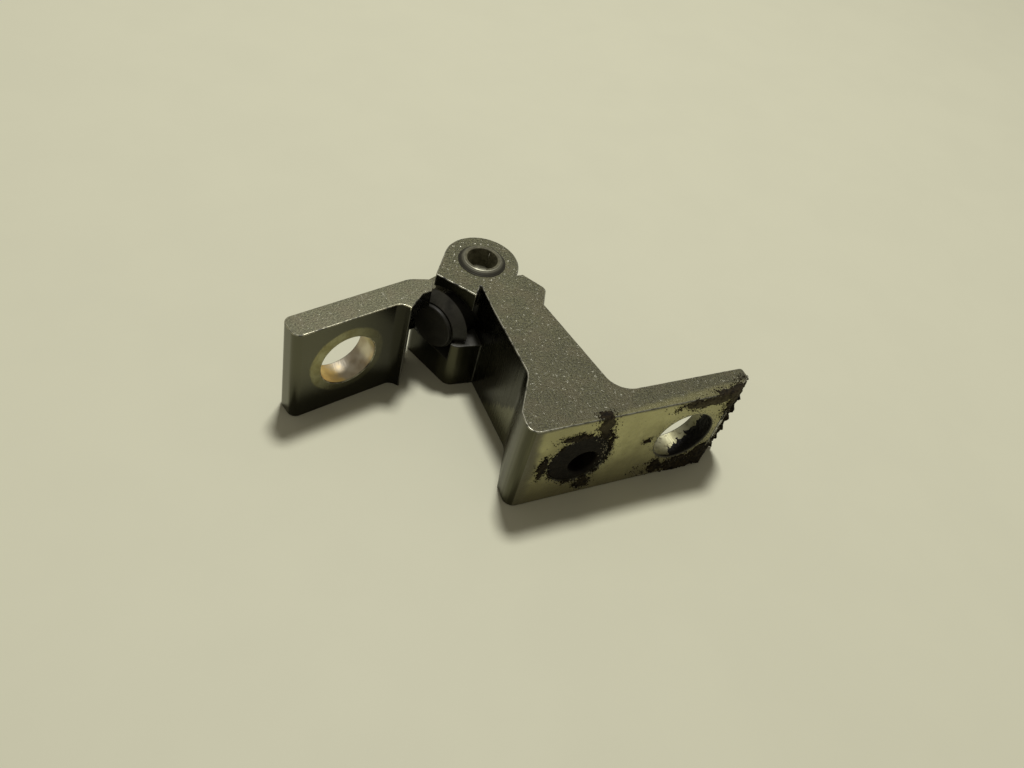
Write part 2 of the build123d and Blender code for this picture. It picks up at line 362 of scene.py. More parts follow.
# %% Worn edge finish
def worn_edge(name, paint, metal, shaded_to, bright_hole=None, primed_front=False):
    """Paint rubbed through to bright metal in patches, along the top or at a hole.

    Edges stay dull where primer covers them, and near the pin their paint is painted darker as
    painted shade.
    """
    finish, tree, shader, coords = new_finish(name)
    rub = grain(tree, coords, 2.2, 5.0, 0.65)
    exposed = steps(tree, place_on(tree, coords, "Z"), 14.6 * MM, 15.4 * MM, 0.08, 1.0)
    if bright_hole:
        rim = steps(tree, from_line(tree, coords, *bright_hole), 9.2 * MM, 9.6 * MM, 0.8, 0.0)
        exposed = sums(tree, "MAXIMUM", exposed, rim)
    # Near the pin the edge's paint is painted darker: painted shade.
    away = from_line(tree, coords, PIN, UPRIGHT)
    near_pin_shade = steps(tree, away, shaded_to - 8.0 * MM, shaded_to, 0.8, 0.0)
    paint = blend(tree, near_pin_shade, paint, shade(paint, 0.2))
    if primed_front:
        front = steps(tree, place_on(tree, coords, "Y"), 0.5 * MM, 1.2 * MM, 0.75, 0.0)
        beyond = steps(tree, place_on(tree, coords, "X"), -44.0 * MM, -40.0 * MM)
        bare = rest_of(tree, sums(tree, "MULTIPLY", front, beyond))
        exposed = sums(tree, "MULTIPLY", exposed, bare)
    amount = sums(tree, "MULTIPLY", steps(tree, rub, 0.38, 0.6), exposed)
    feed(shader, "Base Color", blend(tree, amount, paint, metal))
    feed(shader, "Roughness", between(tree, amount, 0.5, 0.26))
    feed(shader, "Metallic", between(tree, amount, 0.2, 0.85))
    feed(shader, "Normal", relief(tree, rub, 0.1, 0.5))
    return finish


leaf_edge = worn_edge(
    "leaf_edge",
    shade(LEAF_GREY, 0.5),
    (0.44, 0.425, 0.30),
    shaded_to=36.0 * MM,
    bright_hole=(LEAF_HOLE, LEAF_OUT),
)
arm_edge = worn_edge(
    "arm_edge",
    shade(ARM_GREY, 0.5),
    (0.48, 0.47, 0.37),
    shaded_to=34.0 * MM,
    primed_front=True,
)

# %% [markdown]
# ## Primer on the mounting face
#
# Where the bracket was bolted to the body it kept a yellowish primer. It is greyer near its rounded
# left side, darker low down and at both ends, and lighter near the top. Small dark and pale specks
# crowd round the nut and the bolt hole. Splashes like these could be painted by hand. Noise that is
# stronger near each hole gives as many as are wanted, and they stay sharp from close by.


# %% Clouds and dirt of the primer
def clouded_primer(tree, clouds, dust_and_sheen, across, up):
    """Clouds of two yellows with dust, darker low down and at both ends, and lighter near the top.
    """
    colour = blend(tree, steps(tree, clouds, 0.3, 0.7), PRIMER_DARK, PRIMER_LIGHT)
    colour = blend(tree, steps(tree, dust_and_sheen, 0.52, 0.75, 0.0, 0.45), colour, DIRT)
    # Darker low down, lighter near the top, and darker again at both ends of the top band.
    colour = blend(tree, steps(tree, up, -15.0 * MM, 9.0 * MM, 0.9, 0.0), colour, DIRT)
    high = steps(tree, up, 5.0 * MM, 14.0 * MM, 0.0, 0.6)
    colour = blend(tree, high, colour, shade(PRIMER_LIGHT, 1.05))
    near_left = steps(tree, across, -47.0 * MM, -26.0 * MM, 0.5, 0.0)
    near_right = steps(tree, across, -10.0 * MM, 12.0 * MM, 0.0, 0.45)
    ends = sums(tree, "MULTIPLY", sums(tree, "ADD", near_left, near_right), high)
    return blend(tree, ends, colour, DIRT)


# %% Specks round the nut and the hole
THROUGH = (0.0, 1.0, 0.0)
BOLT_HOLE = (0.0, 0.0, 0.0)
NUT_PLACE = Vector((-34.0, 0.0, 0.0)) * MM
PALE_SPECK = (0.62, 0.60, 0.42)


def with_specks(tree, coords, colour, rim):
    """Dark and pale specks, crowded round the nut and round the bolt hole."""
    crumbs = grain(tree, coords, 0.55, 4.0, 0.6)
    from_nut = from_line(tree, coords, NUT_PLACE, THROUGH)
    near_nut = steps(tree, from_nut, 8.0 * MM, 14.0 * MM, 0.16, 0.0)
    near_hole = steps(tree, rim, 9.0 * MM, 13.5 * MM, 0.13, 0.0)
    near = sums(tree, "ADD", near_nut, near_hole)
    crowded = sums(tree, "ADD", crumbs, near)
    colour = blend(tree, steps(tree, crowded, 0.62, 0.72, 0.0, 0.9), colour, BLACK_DIRT)
    pale = sums(tree, "SUBTRACT", near, crumbs)
    return blend(tree, steps(tree, pale, -0.27, -0.2, 0.0, 0.6), colour, PALE_SPECK)


# %% Primer finish
def with_left_border(tree, colour, across):
    """The arm's paint left of the primer's ragged border, and dirt just inside it."""
    smudge = steps(tree, across, -51.5 * MM, -49.5 * MM, 0.0, 0.6)
    inside = steps(tree, across, -49.0 * MM, -47.0 * MM, 1.0, 0.0)
    beyond = steps(tree, across, -50.0 * MM, -46.5 * MM, 1.0, 0.0)
    colour = blend(tree, beyond, colour, shade(ARM_GREY, 1.25))
    return blend(tree, sums(tree, "MULTIPLY", smudge, inside), colour, DIRT)


def primer():
    """Yellowish primer, darker low down and speckled round the nut and the hole."""
    finish, tree, shader, coords = new_finish("face_primer")
    clouds = grain(tree, coords, 9.0, 5.0, 0.6)
    dust_and_sheen = grain(tree, coords, 0.9, 5.0, 0.65)
    ragged = sway(tree, clouds, 5.0)
    across = sums(tree, "ADD", place_on(tree, coords, "X"), ragged)
    up = place_on(tree, coords, "Z")
    colour = clouded_primer(tree, clouds, dust_and_sheen, across, sums(tree, "ADD", up, ragged))
    rim = from_line(tree, coords, BOLT_HOLE, THROUGH)
    colour = with_specks(tree, coords, colour, rim)
    outline = steps(tree, rim, 9.35 * MM, 9.7 * MM, 0.85, 0.0)
    colour = blend(tree, outline, colour, BLACK_DIRT)
    colour = with_left_border(tree, colour, across)
    below_top = sums(tree, "ADD", up, sums(tree, "MULTIPLY", ragged, 0.4))
    rim_of_top = steps(tree, below_top, 14.9 * MM, 15.7 * MM, 0.0, 0.75)
    feed(shader, "Base Color", blend(tree, rim_of_top, colour, ARM_GREY))
    feed(shader, "Roughness", steps(tree, dust_and_sheen, 0.3, 0.7, 0.62, 0.42))
    feed(shader, "Normal", relief(tree, dust_and_sheen, 0.14, 0.8))
    return finish


face_primer = primer()

# %% [markdown]
# ## The arm's paint
#
# The bracket's paint has its own story. Primer creeps over the top front edge, widest towards the
# flange's free end. The arm's wall that faces the leaf is painted near black as painted shade, with
# a paler painted reflection low down. The walls near the pin are painted darker as painted shade,
# and the stop nose carries a paler painted reflection. Each of these is one more layer over the
# painted steel, with its own border, so that one can be changed without the others.


# %% Overspray
def overspray(tree, coords, colour):
    """Primer over the top front edge, widest at the flange's free end."""
    across = place_on(tree, coords, "X")
    reach = steps(tree, across, -45.0 * MM, 14.0 * MM, 0.3 * MM, 3.4 * MM)
    reach = sums(tree, "ADD", reach, sway(tree, grain(tree, coords, 3.0, 4.0, 0.6), 3.0))
    over = sums(tree, "SUBTRACT", reach, place_on(tree, coords, "Y"))
    amount = steps(tree, over, -0.8 * MM, 1.0 * MM, 0.0, 0.8)
    amount = sums(tree, "MULTIPLY", amount, steps(tree, across, -49.0 * MM, -40.0 * MM))
    return blend(tree, amount, colour, shade(PRIMER_DARK, 0.6))


# %% Painted shade and reflection on the walls near the pin
WALL_PLACE = Vector((-44.0, 18.0, 3.0)) * MM
WALL_DOWNHILL = Vector((0.0, -0.69, -0.72))


def wall_shade_and_reflection(tree, coords, colour, sides):
    """The wall that faces the leaf: painted near black as painted shade, with a paler painted
    reflection low down.
    """
    fringe = sway(tree, grain(tree, coords, (0.4, 0.4, 9.0), 4.0, 0.6), 7.0)
    floor_reflection = sums(tree, "ADD", towards(tree, coords, WALL_PLACE, WALL_DOWNHILL), fringe)
    floor_reflection = steps(tree, floor_reflection, -0.4 * MM, 1.0 * MM)
    wall = steps(tree, place_on(tree, coords, "X"), -44.3 * MM, -44.0 * MM, 1.0, 0.0)
    behind = steps(tree, place_on(tree, coords, "Y"), 17.0 * MM, 20.0 * MM)
    wall = sums(tree, "MULTIPLY", sums(tree, "MULTIPLY", wall, behind), sides)
    # The wall is painted near black as painted shade; the paler band below it is a painted
    # reflection of the floor.
    colour = blend(tree, sums(tree, "MULTIPLY", wall, 0.85), colour, shade(ARM_GREY, 0.28))
    return blend(tree, sums(tree, "MULTIPLY", floor_reflection, wall), colour, shade(ARM_GREY, 1.5))


def shaded_near_pin(tree, coords, colour, sides):
    """Painted shade on the walls round the pin, weaker towards their foot."""
    away = from_line(tree, coords, PIN, UPRIGHT)
    # Walls near the pin are painted darker: painted shade.
    near_pin_shade = sums(tree, "MULTIPLY", steps(tree, away, 20.0 * MM, 32.0 * MM, 0.6, 0.0), sides)
    above = steps(tree, place_on(tree, coords, "Z"), -13.0 * MM, 2.0 * MM, 0.25, 1.0)
    return blend(tree, sums(tree, "MULTIPLY", near_pin_shade, above), colour, shade(ARM_GREY, 0.2))


# %% [markdown]
# The layers go on one over another: paint, primer over the edge, the wall's painted shade and
# reflection, painted shade near the pin, the nose's painted reflection, and last a darker brown on
# the flat faces that fades from the flange towards the pin.

# %% Arm paint
NOSE = Vector((-53.2, 47.6, 0.0)) * MM
DARK_BROWN = (0.035, 0.029, 0.012)


def layered_arm_paint():
    """The bar's paint with overspray, painted shade and reflection on the walls, a painted
    reflection on the nose, and darker flat faces towards the front.
    """
    finish, tree, shader, coords = painted_steel(
        "arm_paint", ARM_GREY, peen_size=0.55, peen_depth=0.32, drawn=1.0, gloss=0.17
    )
    flat = flat_faces(tree, coords)
    sides = rest_of(tree, flat)
    colour = overspray(tree, coords, fed_by(shader, "Base Color"))
    colour = wall_shade_and_reflection(tree, coords, colour, sides)
    colour = shaded_near_pin(tree, coords, colour, sides)
    # The stop nose gets a paler band: a painted reflection, with its gloss dulled.
    nose = from_line(tree, coords, NOSE, UPRIGHT)
    rubbed_and_sheen = sums(tree, "MULTIPLY", steps(tree, nose, 2.2 * MM, 4.6 * MM, 0.8, 0.0), sides)
    colour = blend(tree, rubbed_and_sheen, colour, shade(ARM_GREY, 0.9))
    # Flat faces are darker and browner towards the flange's front, fading towards the pin.
    darkening = steps(tree, place_on(tree, coords, "Y"), 2.0 * MM, 60.0 * MM, 0.3, 0.0)
    darkening = sums(tree, "MULTIPLY", darkening, flat)
    feed(shader, "Base Color", blend(tree, darkening, colour, DARK_BROWN))
    dull = steps(tree, place_on(tree, coords, "X"), -47.5 * MM, -45.0 * MM, 0.34, 0.0)
    dull = sums(tree, "MAXIMUM", dull, sums(tree, "MULTIPLY", rubbed_and_sheen, 0.45))
    feed(shader, "Roughness", sums(tree, "MAXIMUM", fed_by(shader, "Roughness"), dull))
    return finish


arm_paint = layered_arm_paint()

# %% [markdown]
# ## The washer's mark on the leaf
#
# The washer of the leaf's bolt rubbed off a pale, slightly yellow ring, plainer on its outer, upper
# half. Towards the pin and the foot the paint is painted darker: painted shade. The ring could be a
# disc of its own, but a thin disc flickers against the face under it. As a layer of the paint it
# has no thickness, and its border can be ragged.

# %% Leaf front with a washer mark
WASHER = leaf_point(46.9, 0.0, 0.8)


def leaf_front_paint():
    """Glossy paint, the washer's pale ring, and painted shade towards pin and foot."""
    finish, tree, shader, coords = painted_steel(
        "leaf_front", LEAF_GREY, peen_size=0.42, peen_depth=0.12, drawn=0.0, gloss=0.15
    )
    clouds = grain(tree, coords, 5.0, 5.0, 0.6)
    fine = grain(tree, coords, 0.8, 4.0, 0.6)
    away = sums(tree, "ADD", from_line(tree, coords, WASHER, LEAF_OUT), sway(tree, clouds, 1.6))
    uphill = (LEAF_ALONG * 0.7 + Vector((0.0, 0.0, 0.7))).normalized()
    rubbed_and_sheen = steps(tree, towards(tree, coords, WASHER, uphill), -9.0 * MM, 9.0 * MM, 0.3, 1.0)
    ring = rest_of(tree, steps(tree, away, 10.9 * MM, 11.7 * MM))
    ring = sums(tree, "MULTIPLY", ring, rubbed_and_sheen)
    bared = blend(tree, steps(tree, clouds, 0.35, 0.65), (0.27, 0.245, 0.095), (0.40, 0.385, 0.20))
    bared = blend(tree, steps(tree, fine, 0.5, 0.75, 0.0, 0.5), bared, GREY_DUST)
    colour = blend(tree, ring, fed_by(shader, "Base Color"), bared)
    # Towards the pin and low down the paint is painted darker: painted shade.
    outward = towards(tree, coords, WASHER, LEAF_ALONG)
    darkening = steps(tree, outward, -22.0 * MM, 12.0 * MM, 0.93, 0.0)
    low = steps(tree, place_on(tree, coords, "Z"), -14.0 * MM, 6.0 * MM, 0.7, 0.0)
    darkening = sums(tree, "MAXIMUM", darkening, low)
    feed(shader, "Base Color", blend(tree, darkening, colour, shade(LEAF_GREY, 0.12)))
    feed(shader, "Roughness", between(tree, ring, fed_by(shader, "Roughness"), 0.36))
    feed(shader, "Metallic", between(tree, ring, 0.9, 0.5))
    return finish


leaf_front = leaf_front_paint()

# %% [markdown]
# ## Plated bores
#
# The bolt holes are zinc plated: bright, with gold and mauve tints from the chromate
# and fine marks from the reamer. A thin film shader would give every colour of the
# rainbow. Two or three tints laid where they show keep to the few real ones.


# %% Zinc plating
def plating(name, first, second, gloss):
    """Zinc plating with tinted clouds and fine reaming marks."""
    finish, tree, shader, coords = new_finish(name)
    clouds = grain(tree, coords, 6.0, 2.0, 0.5)
    marks = grain(tree, coords, (0.4, 5.0, 0.4), 3.0, 0.6)
    colour = blend(tree, steps(tree, clouds, 0.36, 0.64), first, second)
    colour = blend(tree, steps(tree, marks, 0.6, 0.8, 0.0, 0.4), colour, (0.16, 0.12, 0.07))
    feed(shader, "Base Color", colour)
    feed(shader, "Roughness", steps(tree, marks, 0.3, 0.7, gloss, gloss + 0.14))
    shader.inputs["Metallic"].default_value = 0.9
    feed(shader, "Normal", relief(tree, marks, 0.04, 0.5))
    return finish, tree, shader, coords


# %% Plating of the two bores
def leaf_bore_plating():
    """Mauve-grey plating, gold at the outer, lower side and straw at the upper, inner."""
    finish, tree, shader, coords = plating(
        "leaf_bore", (0.41, 0.35, 0.245), (0.66, 0.61, 0.49), gloss=0.28
    )
    colour = fed_by(shader, "Base Color")
    shift = sway(tree, grain(tree, coords, 4.0, 3.0, 0.5), 6.0)
    outer_low = (LEAF_ALONG * 0.7 + Vector((0.0, 0.0, -0.7))).normalized()
    gold = sums(tree, "ADD", towards(tree, coords, LEAF_HOLE, outer_low), shift)
    colour = blend(tree, steps(tree, gold, 4.5 * MM, 8.0 * MM), colour, (0.84, 0.61, 0.22))
    upper_in = (LEAF_ALONG * -0.6 + Vector((0.0, 0.0, 0.8))).normalized()
    straw = sums(tree, "ADD", towards(tree, coords, LEAF_HOLE, upper_in), shift)
    straw = steps(tree, straw, 4.0 * MM, 7.5 * MM, 0.0, 0.7)
    feed(shader, "Base Color", blend(tree, straw, colour, (0.50, 0.45, 0.20)))
    return finish


def flange_bore_plating():
    """Dull yellowish plating with grime along the rim."""
    finish, tree, shader, coords = plating(
        "flange_bore", (0.33, 0.32, 0.21), (0.22, 0.21, 0.125), gloss=0.44
    )
    clouds = grain(tree, coords, 1.4, 5.0, 0.65)
    spots = steps(tree, clouds, 0.53, 0.66, 0.0, 0.8)
    colour = blend(tree, spots, fed_by(shader, "Base Color"), GREY_DUST)
    back = sums(tree, "ADD", place_on(tree, coords, "Y"), sway(tree, clouds, 1.6))
    rim = steps(tree, back, 0.5 * MM, 1.1 * MM, 0.95, 0.0)
    feed(shader, "Base Color", blend(tree, rim, colour, BLACK_DIRT))
    return finish


leaf_bore = leaf_bore_plating()
flange_bore = flange_bore_plating()

# %% [markdown]
# ## Dark and matt finishes
#
# The rest of the hinge is plain and mostly dark: a near-black neck, bronze bushes, a blackened nut,
# a plastic buffer, dried sealant. One recipe with soft mottling and a fine grain serves them all. A
# lighter colour can be laid on what looks up, or on the upright faces above a height: on the neck
# it is a painted sheen on the upper side, and on the crust it makes the upper part lighter.


# %% Mottled finish
def mottled(name, dark, light, size, rough, metal, depth, shine=0.3, dust_and_sheen_colour=None, lighter_from=None):
    """A plain finish with soft mottling and a fine grain, lighter above a height or on top."""
    finish, tree, shader, coords = new_finish(name)
    patches = grain(tree, coords, size, 5.0, 0.6)
    fine = grain(tree, coords, 0.45, 4.0, 0.6)
    colour = blend(tree, steps(tree, patches, 0.3, 0.7), dark, light)
    # A lighter colour on what faces up, or on upright faces above a height; on the neck it is a
    # painted sheen.
    if dust_and_sheen_colour:
        dust_and_sheen = facing_up(tree, coords)
        if lighter_from:
            upright = rest_of(tree, dust_and_sheen)
            height = place_on(tree, coords, "Z")
            dust_and_sheen = steps(tree, height, lighter_from, lighter_from + 5.0 * MM)
            dust_and_sheen = sums(tree, "MULTIPLY", dust_and_sheen, upright)
        dust_and_sheen = sums(tree, "MULTIPLY", dust_and_sheen, steps(tree, patches, 0.2, 0.6))
        colour = blend(tree, dust_and_sheen, colour, dust_and_sheen_colour)
    feed(shader, "Base Color", colour)
    feed(shader, "Roughness", steps(tree, fine, 0.3, 0.7, rough - 0.08, rough + 0.1))
    shader.inputs["Metallic"].default_value = metal
    shader.inputs["Specular IOR Level"].default_value = shine
    feed(shader, "Normal", relief(tree, fine, depth, 0.6))
    return finish


# Near black on the leaf's neck; in the bracket's slot between the lugs it is painted shade, and the
# lighter colour on what faces up is a painted sheen.
neck_black = mottled(
    "neck_black",
    (0.009, 0.0085, 0.006),
    (0.018, 0.017, 0.0125),
    size=4.0,
    rough=0.36,
    metal=0.0,
    depth=0.06,
    shine=0.4,
    dust_and_sheen_colour=(0.045, 0.043, 0.033),
)

# %% [markdown]
# ## From exact solids to finished pieces
#
# The exact model has knife-sharp edges. A real sawn and tumbled piece has small
# broken ones that catch the light. They could be cut into the exact model, which
# would make it heavy for little use. Instead each piece is a copy of its solid,
# cleaned to plain faces, and a bevel breaks the sharp edges that are marked for it.
# Each face gets its finish from where it lies, by a small rule given with the piece.

# %% Clean a copy of a solid and mark its edges
SHARP = math.radians(28.0)
SAME_PLACE = 0.002 * MM
SAME_PLANE = math.radians(0.6)


def marked_copy(node, name, finishes, rule, where):
    """A copy of a solid with plain faces, its finishes, and its sharp edges marked."""
    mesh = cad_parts[node].data.copy()
    mesh.name = name
    shape = bmesh.new()
    shape.from_mesh(mesh)
    bmesh.ops.remove_doubles(shape, verts=shape.verts, dist=SAME_PLACE)
    bmesh.ops.dissolve_limit(shape, angle_limit=SAME_PLANE, verts=shape.verts, edges=shape.edges)
    shape.normal_update()
    for face in shape.faces:
        face.smooth = True
        face.material_index = rule(face.calc_center_median(), face.normal) if rule else 0
    weight = shape.edges.layers.float.new("bevel_weight_edge")
    broken = 0
    for edge in shape.edges:
        if len(edge.link_faces) != 2 or edge.calc_face_angle() < SHARP:
            continue
        if where is None or where((edge.verts[0].co + edge.verts[1].co) / 2):
            edge[weight] = 1.0
            broken += 1
        else:
            edge.smooth = False
    mesh.materials.clear()
    for finish in finishes:
        mesh.materials.append(finish)
    shape.to_mesh(mesh)
    shape.free()
    print(name, "has", len(mesh.polygons), "plain faces and", broken, "broken edges")
    return mesh


# %% [markdown]
# The bevel alone would leave the big faces shaded as if they were domed. Weighted
# normals make them flat again, and only the narrow strips stay round.


# %% Break the marked edges
def broken_edge_piece(
    node, name, finishes, width, body, rule=None, edge_slot=-1, where=None
):
    """A copy of a solid with broken edges that stands for it in the picture."""
    mesh = marked_copy(node, name, finishes, rule, where)
    piece = bpy.data.objects.new(name, mesh)
    bpy.context.scene.collection.objects.link(piece)
    rounding = piece.modifiers.new("broken_edges", "BEVEL")
    rounding.width = width * MM
    rounding.segments = 3
    rounding.limit_method = "WEIGHT"
    rounding.material = edge_slot
    rounding.use_clamp_overlap = False
    flatten = piece.modifiers.new("flat_faces", "WEIGHTED_NORMAL")
    flatten.keep_sharp = True
    flatten.weight = 80
    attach(piece, body)
    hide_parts(node)


# %% [markdown]
# ## Pillar bracket
#
# The bracket is one slice of a drawn bar: flange, arm and the knuckle with its two lugs. Its front
# keeps the primer and the bolt hole its plating, and the slot between the lugs is painted near
# black as painted shade. The faces could be picked by number, but the numbers change with every new
# export of the exact model. A rule that asks where a face lies and where it looks goes on working.

# %% Pillar bracket
HOLE_RADIUS = 9.2


def bracket_rule(centre, normal):
    """Primer on the front, plating in the bolt hole, painted shade in the slot, else paint."""
    if normal.y < -0.9 and centre.y < 0.3 * MM:
        return 1
    away = math.hypot(centre.x, centre.z) / MM
    if away < HOLE_RADIUS + 0.5 and abs(normal.y) < 0.5 and -0.1 * MM < centre.y < 8.2 * MM:
        return 2
    from_pin = math.hypot(centre.x - PIN.x, centre.y - PIN.y)
    # Flat faces in the slot between the lugs are painted near black: painted shade.
    if from_pin < 20.0 * MM and abs(normal.z) > 0.9 and abs(centre.z) < 15.0 * MM:
        return 4
    return 0


broken_edge_piece(
    "pillar_bracket",
    "bracket_bar",
    [arm_paint, face_primer, flange_bore, arm_edge, neck_black],
    width=0.3,
    body="pillar",
    rule=bracket_rule,
    edge_slot=3,
)

# %% [markdown]
# ## Door leaf
#
# The leaf is the plate that the door is bolted to. A thick round neck leads from it to the middle
# knuckle, finished near black, with a painted sheen on its upper side. Only the plate's own edges
# are broken: round the neck they lie so close together that the bevels would run into each other.

# %% Door leaf
NECK_ANGLE = math.radians(209.0)
NECK_ALONG = Vector((math.cos(NECK_ANGLE), math.sin(NECK_ANGLE), 0.0))
NECK_HEIGHT = 1.85
NECK_RADIUS = 10.6
BORE_REACH = 8.9


def leaf_rule(centre, normal):
    """Bore, washer-marked front, dark neck, and paint elsewhere."""
    offset = centre - LEAF_HOLE
    along = offset.dot(LEAF_ALONG) / MM
    away = math.hypot(along, offset.z / MM)
    if away < BORE_REACH and abs(normal.dot(LEAF_OUT)) < 0.5:
        return 1
    if normal.dot(LEAF_OUT) > 0.3 and along > -29.0:
        return 3
    from_pin = centre - PIN
    along_neck = from_pin.dot(NECK_ALONG) / MM
    beside = from_pin.cross(NECK_ALONG).z / MM
    around = math.hypot(beside, centre.z / MM - NECK_HEIGHT)
    if around < NECK_RADIUS and along_neck > 8.0 and from_pin.dot(LEAF_OUT) > 0.8 * MM:
        return 4
    return 0


def plate_edge(middle):
    """The edges of the plate, without the crowded ones round the neck."""
    from_pin = math.hypot(middle.x - PIN.x, middle.y - PIN.y) / MM
    outline = abs(middle.z) > 15.0 * MM and from_pin > 19.0
    return outline or from_pin > 25.5


broken_edge_piece(
    "door_leaf",
    "leaf_bar",
    [leaf_paint, leaf_bore, leaf_edge, leaf_front, neck_black],
    width=0.3,
    body="door",
    rule=leaf_rule,
    edge_slot=2,
    where=plate_edge,
)

# %% [markdown]
# ## Riveted pin
#
# The pin's hollow end was spread by a turning tool, which left fine rings in the dull steel. Round
# its foot the steel is painted darker: partly dirt pushed out there, partly painted shade. Rings
# could be cut into the mesh, but they are finer than a hair. A wave pattern round the pin's axis
# gives them as relief.


# %% Turned steel finish
def turned_steel():
    """Dull steel with rings from the riveting tool round the pin's axis."""
    finish, tree, shader, coords = new_finish("pin_steel")
    offset = vector_step(tree, "SUBTRACT", coords.outputs["Object"], PIN)["Vector"]
    rings = tree.nodes.new("ShaderNodeTexWave")
    rings.wave_type = "RINGS"
    rings.rings_direction = "Z"
    rings.inputs["Scale"].default_value = 700.0
    rings.inputs["Distortion"].default_value = 1.5
    rings.inputs["Detail"].default_value = 3.0
    tree.links.new(offset, rings.inputs["Vector"])
    clouds = grain(tree, coords, 2.5, 5.0, 0.6)
    colour = blend(tree, steps(tree, clouds, 0.3, 0.7), (0.15, 0.146, 0.105), (0.24, 0.235, 0.172))
    away = from_line(tree, coords, PIN, UPRIGHT)
    # Darker round the foot: partly dirt, partly painted shade.
    foot = steps(tree, away, 5.6 * MM, 6.5 * MM, 0.0, 0.88)
    feed(shader, "Base Color", blend(tree, foot, colour, (0.022, 0.020, 0.014)))
    feed(shader, "Roughness", steps(tree, clouds, 0.3, 0.7, 0.5, 0.36))
    shader.inputs["Metallic"].default_value = 0.6
    feed(shader, "Normal", relief(tree, rings.outputs["Fac"], 0.03, 0.5))
    return finish


# %% Pin
RECESS_RADIUS = 4.75


def pin_rule(centre, normal):
    """Old grease in the riveted end's recess, bare steel elsewhere."""
    away = math.hypot(centre.x - PIN.x, centre.y - PIN.y)
    return 1 if away < RECESS_RADIUS * MM and centre.z > 0.0 else 0


recess_grease = mottled(
    "recess_grease",
    (0.055, 0.050, 0.026),
    (0.125, 0.118, 0.068),
    size=1.6,
    rough=0.55,
    metal=0.0,
    depth=0.12,
)
broken_edge_piece(
    "hinge_pin",
    "riveted_pin",
    [turned_steel(), recess_grease],
    width=0.2,
    body="pillar",
    rule=pin_rule,
)

# %% [markdown]
# ## Bushes, nut and buffer
#
# Two bronze bushes carry the leaf on the pin and are dark with old grease. The
# pressed-in nut and the plastic buffer are near black. All four are turned pieces
# with one finish each, so a short table says all that differs between them.

# %% Bushes, nut and buffer
bush_bronze = mottled(
    "bush_bronze",
    (0.10, 0.065, 0.03),
    (0.30, 0.19, 0.08),
    size=2.0,
    rough=0.4,
    metal=0.8,
    depth=0.04,
)
nut_dark = mottled(
    "nut_dark",
    (0.004, 0.003, 0.0018),
    (0.012, 0.0095, 0.006),
    size=2.0,
    rough=0.6,
    metal=0.0,
    depth=0.2,
    shine=0.1,
)
buffer_black = mottled(
    "buffer_black",
    (0.012, 0.011, 0.008),
    (0.024, 0.0225, 0.017),
    size=4.0,
    rough=0.55,
    metal=0.0,
    depth=0.05,
)
TURNED_PIECES = [
    ("upper_bush", "bush_above", bush_bronze, 0.12, "bush_bronze", "door"),
    ("lower_bush", "bush_below", bush_bronze, 0.12, "bush_bronze", "door"),
    ("nut_disc", "pressed_nut", nut_dark, 0.25, "nut_steel", "pillar"),
    ("stop_buffer", "end_buffer", buffer_black, 0.15, "buffer_plastic", "door"),
]
for node, name, finish, width, slot_name, body in TURNED_PIECES:
    broken_edge_piece(node, name, [finish], width, body)

# %% [markdown]
# ## Marks round the riveted pin
#
# The tool that spread the pin's end also pressed a ring of small bright marks into
# the knuckle round it. They could be painted on, but their light side and dark side
# have to change as the lamp moves. Low domes of real geometry do that by themselves.


# %% Add a built piece
def add_mesh_piece(name, shape, finish, body):
    """Turn built geometry into a piece that rides with its body."""
    mesh = bpy.data.meshes.new(name)
    shape.to_mesh(mesh)
    shape.free()
    mesh.materials.append(finish)
    piece = bpy.data.objects.new(name, mesh)
    bpy.context.scene.collection.objects.link(piece)
    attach(piece, body)
    print(name, "has", len(mesh.polygons), "faces")


# %% Bands and domes
def join_rings(shape, low, high):
    """A smooth band of faces between two rings of points, or up to one point."""
    for k in range(len(low)):
        following = (k + 1) % len(low)
        if len(high) == 1:
            corners = [low[k], low[following], high[0]]
        else:
            corners = [low[k], low[following], high[following], high[k]]
        shape.faces.new(corners).smooth = True


def add_dome(shape, centre, radius, rise, sides=10):
    """A low smooth dome with its foot just under the surface it stands on."""
    rings = []
    for share in (0.0, 0.45, 0.8, 1.0):
        turn = share * math.pi / 2
        level = centre + Vector((0.0, 0.0, (math.sin(turn) * 1.3 - 0.3) * rise))
        if share == 1.0:
            rings.append([shape.verts.new(level)])
            continue
        reach = radius * math.cos(turn)
        rings.append([
            shape.verts.new(level + Vector((math.cos(a) * reach, math.sin(a) * reach, 0.0)))
            for a in [2 * math.pi * k / sides for k in range(sides)]
        ])
    for low, high in zip(rings, rings[1:]):
        join_rings(shape, low, high)


# %% Marks from the riveting tool
STAKES = [24, 38, 55, 70, 84, 118, 151, 170, 186, 203, 219, 236, 252, 268, 287, 306, 331, 352]
marks_steel = worn_edge(
    "marks_steel", (0.16, 0.155, 0.11), (0.62, 0.61, 0.50), shaded_to=0.0
)

shape = bmesh.new()
dice = random.Random(4)
for angle in STAKES:
    turn = math.radians(angle)
    reach = dice.uniform(7.9, 8.4) * MM
    foot = Vector((PIN.x + math.cos(turn) * reach, PIN.y + math.sin(turn) * reach, TOP))
    add_dome(shape, foot, dice.uniform(0.22, 0.4) * MM, dice.uniform(0.1, 0.16) * MM)
add_mesh_piece("stake_marks", shape, marks_steel, "pillar")

# %% [markdown]
# A thin raised seam runs down the wall of the pin's recess. It is a slender bar with
# six sides, sunk halfway into the wall: the plainest form that still shows a light
# and a dark side.


